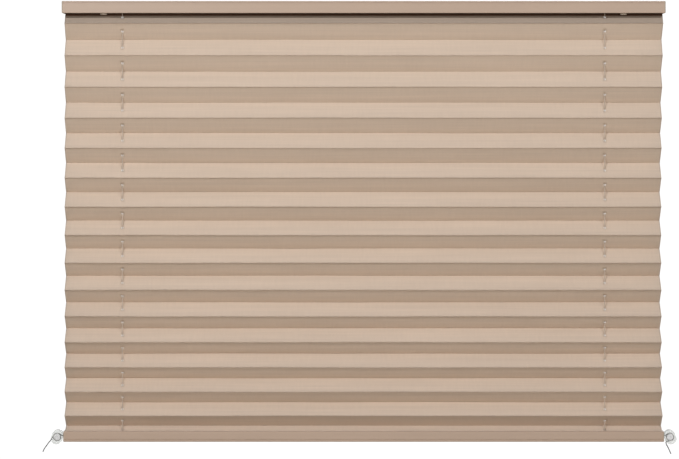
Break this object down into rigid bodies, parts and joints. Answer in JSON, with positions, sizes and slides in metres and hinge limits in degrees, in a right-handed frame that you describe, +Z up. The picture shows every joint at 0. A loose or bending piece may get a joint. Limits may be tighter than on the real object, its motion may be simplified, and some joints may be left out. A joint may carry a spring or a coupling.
{
  "type": "pleated blind",
  "caption": "Pleated fabric blind hung from a slim headrail, with a bottom rail that slides up on two tension cords held by clear tension shoes at the lower corners.",
  "frame": {"origin": "middle of the headrail's top face, the face that is fixed to the window frame", "axes": "+X along the rails, +Z up, the room side faces -Y"},
  "size_m": [0.632, 0.0201, 0.4513],
  "materials": {
    "rail_paint": "satin beige powder coat on aluminium",
    "cap_plastic": "moulded, matt beige",
    "strip_plastic": "extruded strip, matt",
    "fabric": "fine woven polyester, pleated, beige",
    "inner_plastic": "moulded, plain",
    "eyelet_plastic": "moulded, pale",
    "steel": "zinc plated",
    "brass": "turned",
    "cord": "fine braided cord",
    "clear_plastic": "clear moulded plastic"
  },
  "bodies": {
    "headrail": {"headrail": "rail_paint", "headrail_end_cap_left": "cap_plastic", "headrail_end_cap_right": "cap_plastic", "fabric_top_strip": "strip_plastic", "pleated_fabric": "fabric", "headrail_cord_guide_left": "inner_plastic", "headrail_cord_guide_right": "inner_plastic", "headrail_eyelet_left": "eyelet_plastic", "headrail_eyelet_right": "eyelet_plastic", "screw_bush_left": "eyelet_plastic", "screw_bush_right": "eyelet_plastic", "spring_anchor": "inner_plastic", "tension_spring_left": "steel", "tension_spring_right": "steel", "cord_clip_left": "brass", "cord_clip_right": "brass", "tension_cord_left": "cord", "tension_cord_right": "cord", "cord_winding_left": "cord", "cord_winding_right": "cord", "cord_tail_left": "cord", "cord_tail_right": "cord", "tension_shoe_left": "clear_plastic", "tension_shoe_right": "clear_plastic", "shoe_screw_left": "steel", "shoe_screw_right": "steel"},
    "bottom_rail": {"bottom_rail": "rail_paint", "bottom_rail_end_cap_left": "cap_plastic", "bottom_rail_end_cap_right": "cap_plastic", "fabric_bottom_strip": "strip_plastic", "bottom_rail_cord_guide_left": "inner_plastic", "bottom_rail_cord_guide_right": "inner_plastic", "bottom_rail_eyelet_left": "eyelet_plastic", "bottom_rail_eyelet_right": "eyelet_plastic"}
  },
  "joints": [
    {"name": "bottom_rail_slide", "type": "slide", "parent": "headrail", "child": "bottom_rail", "axis": [0, 0, 1], "range_m": [0, 0.375], "deforming": ["pleated_fabric", "tension_cord_left", "tension_cord_right"]}
  ]
}
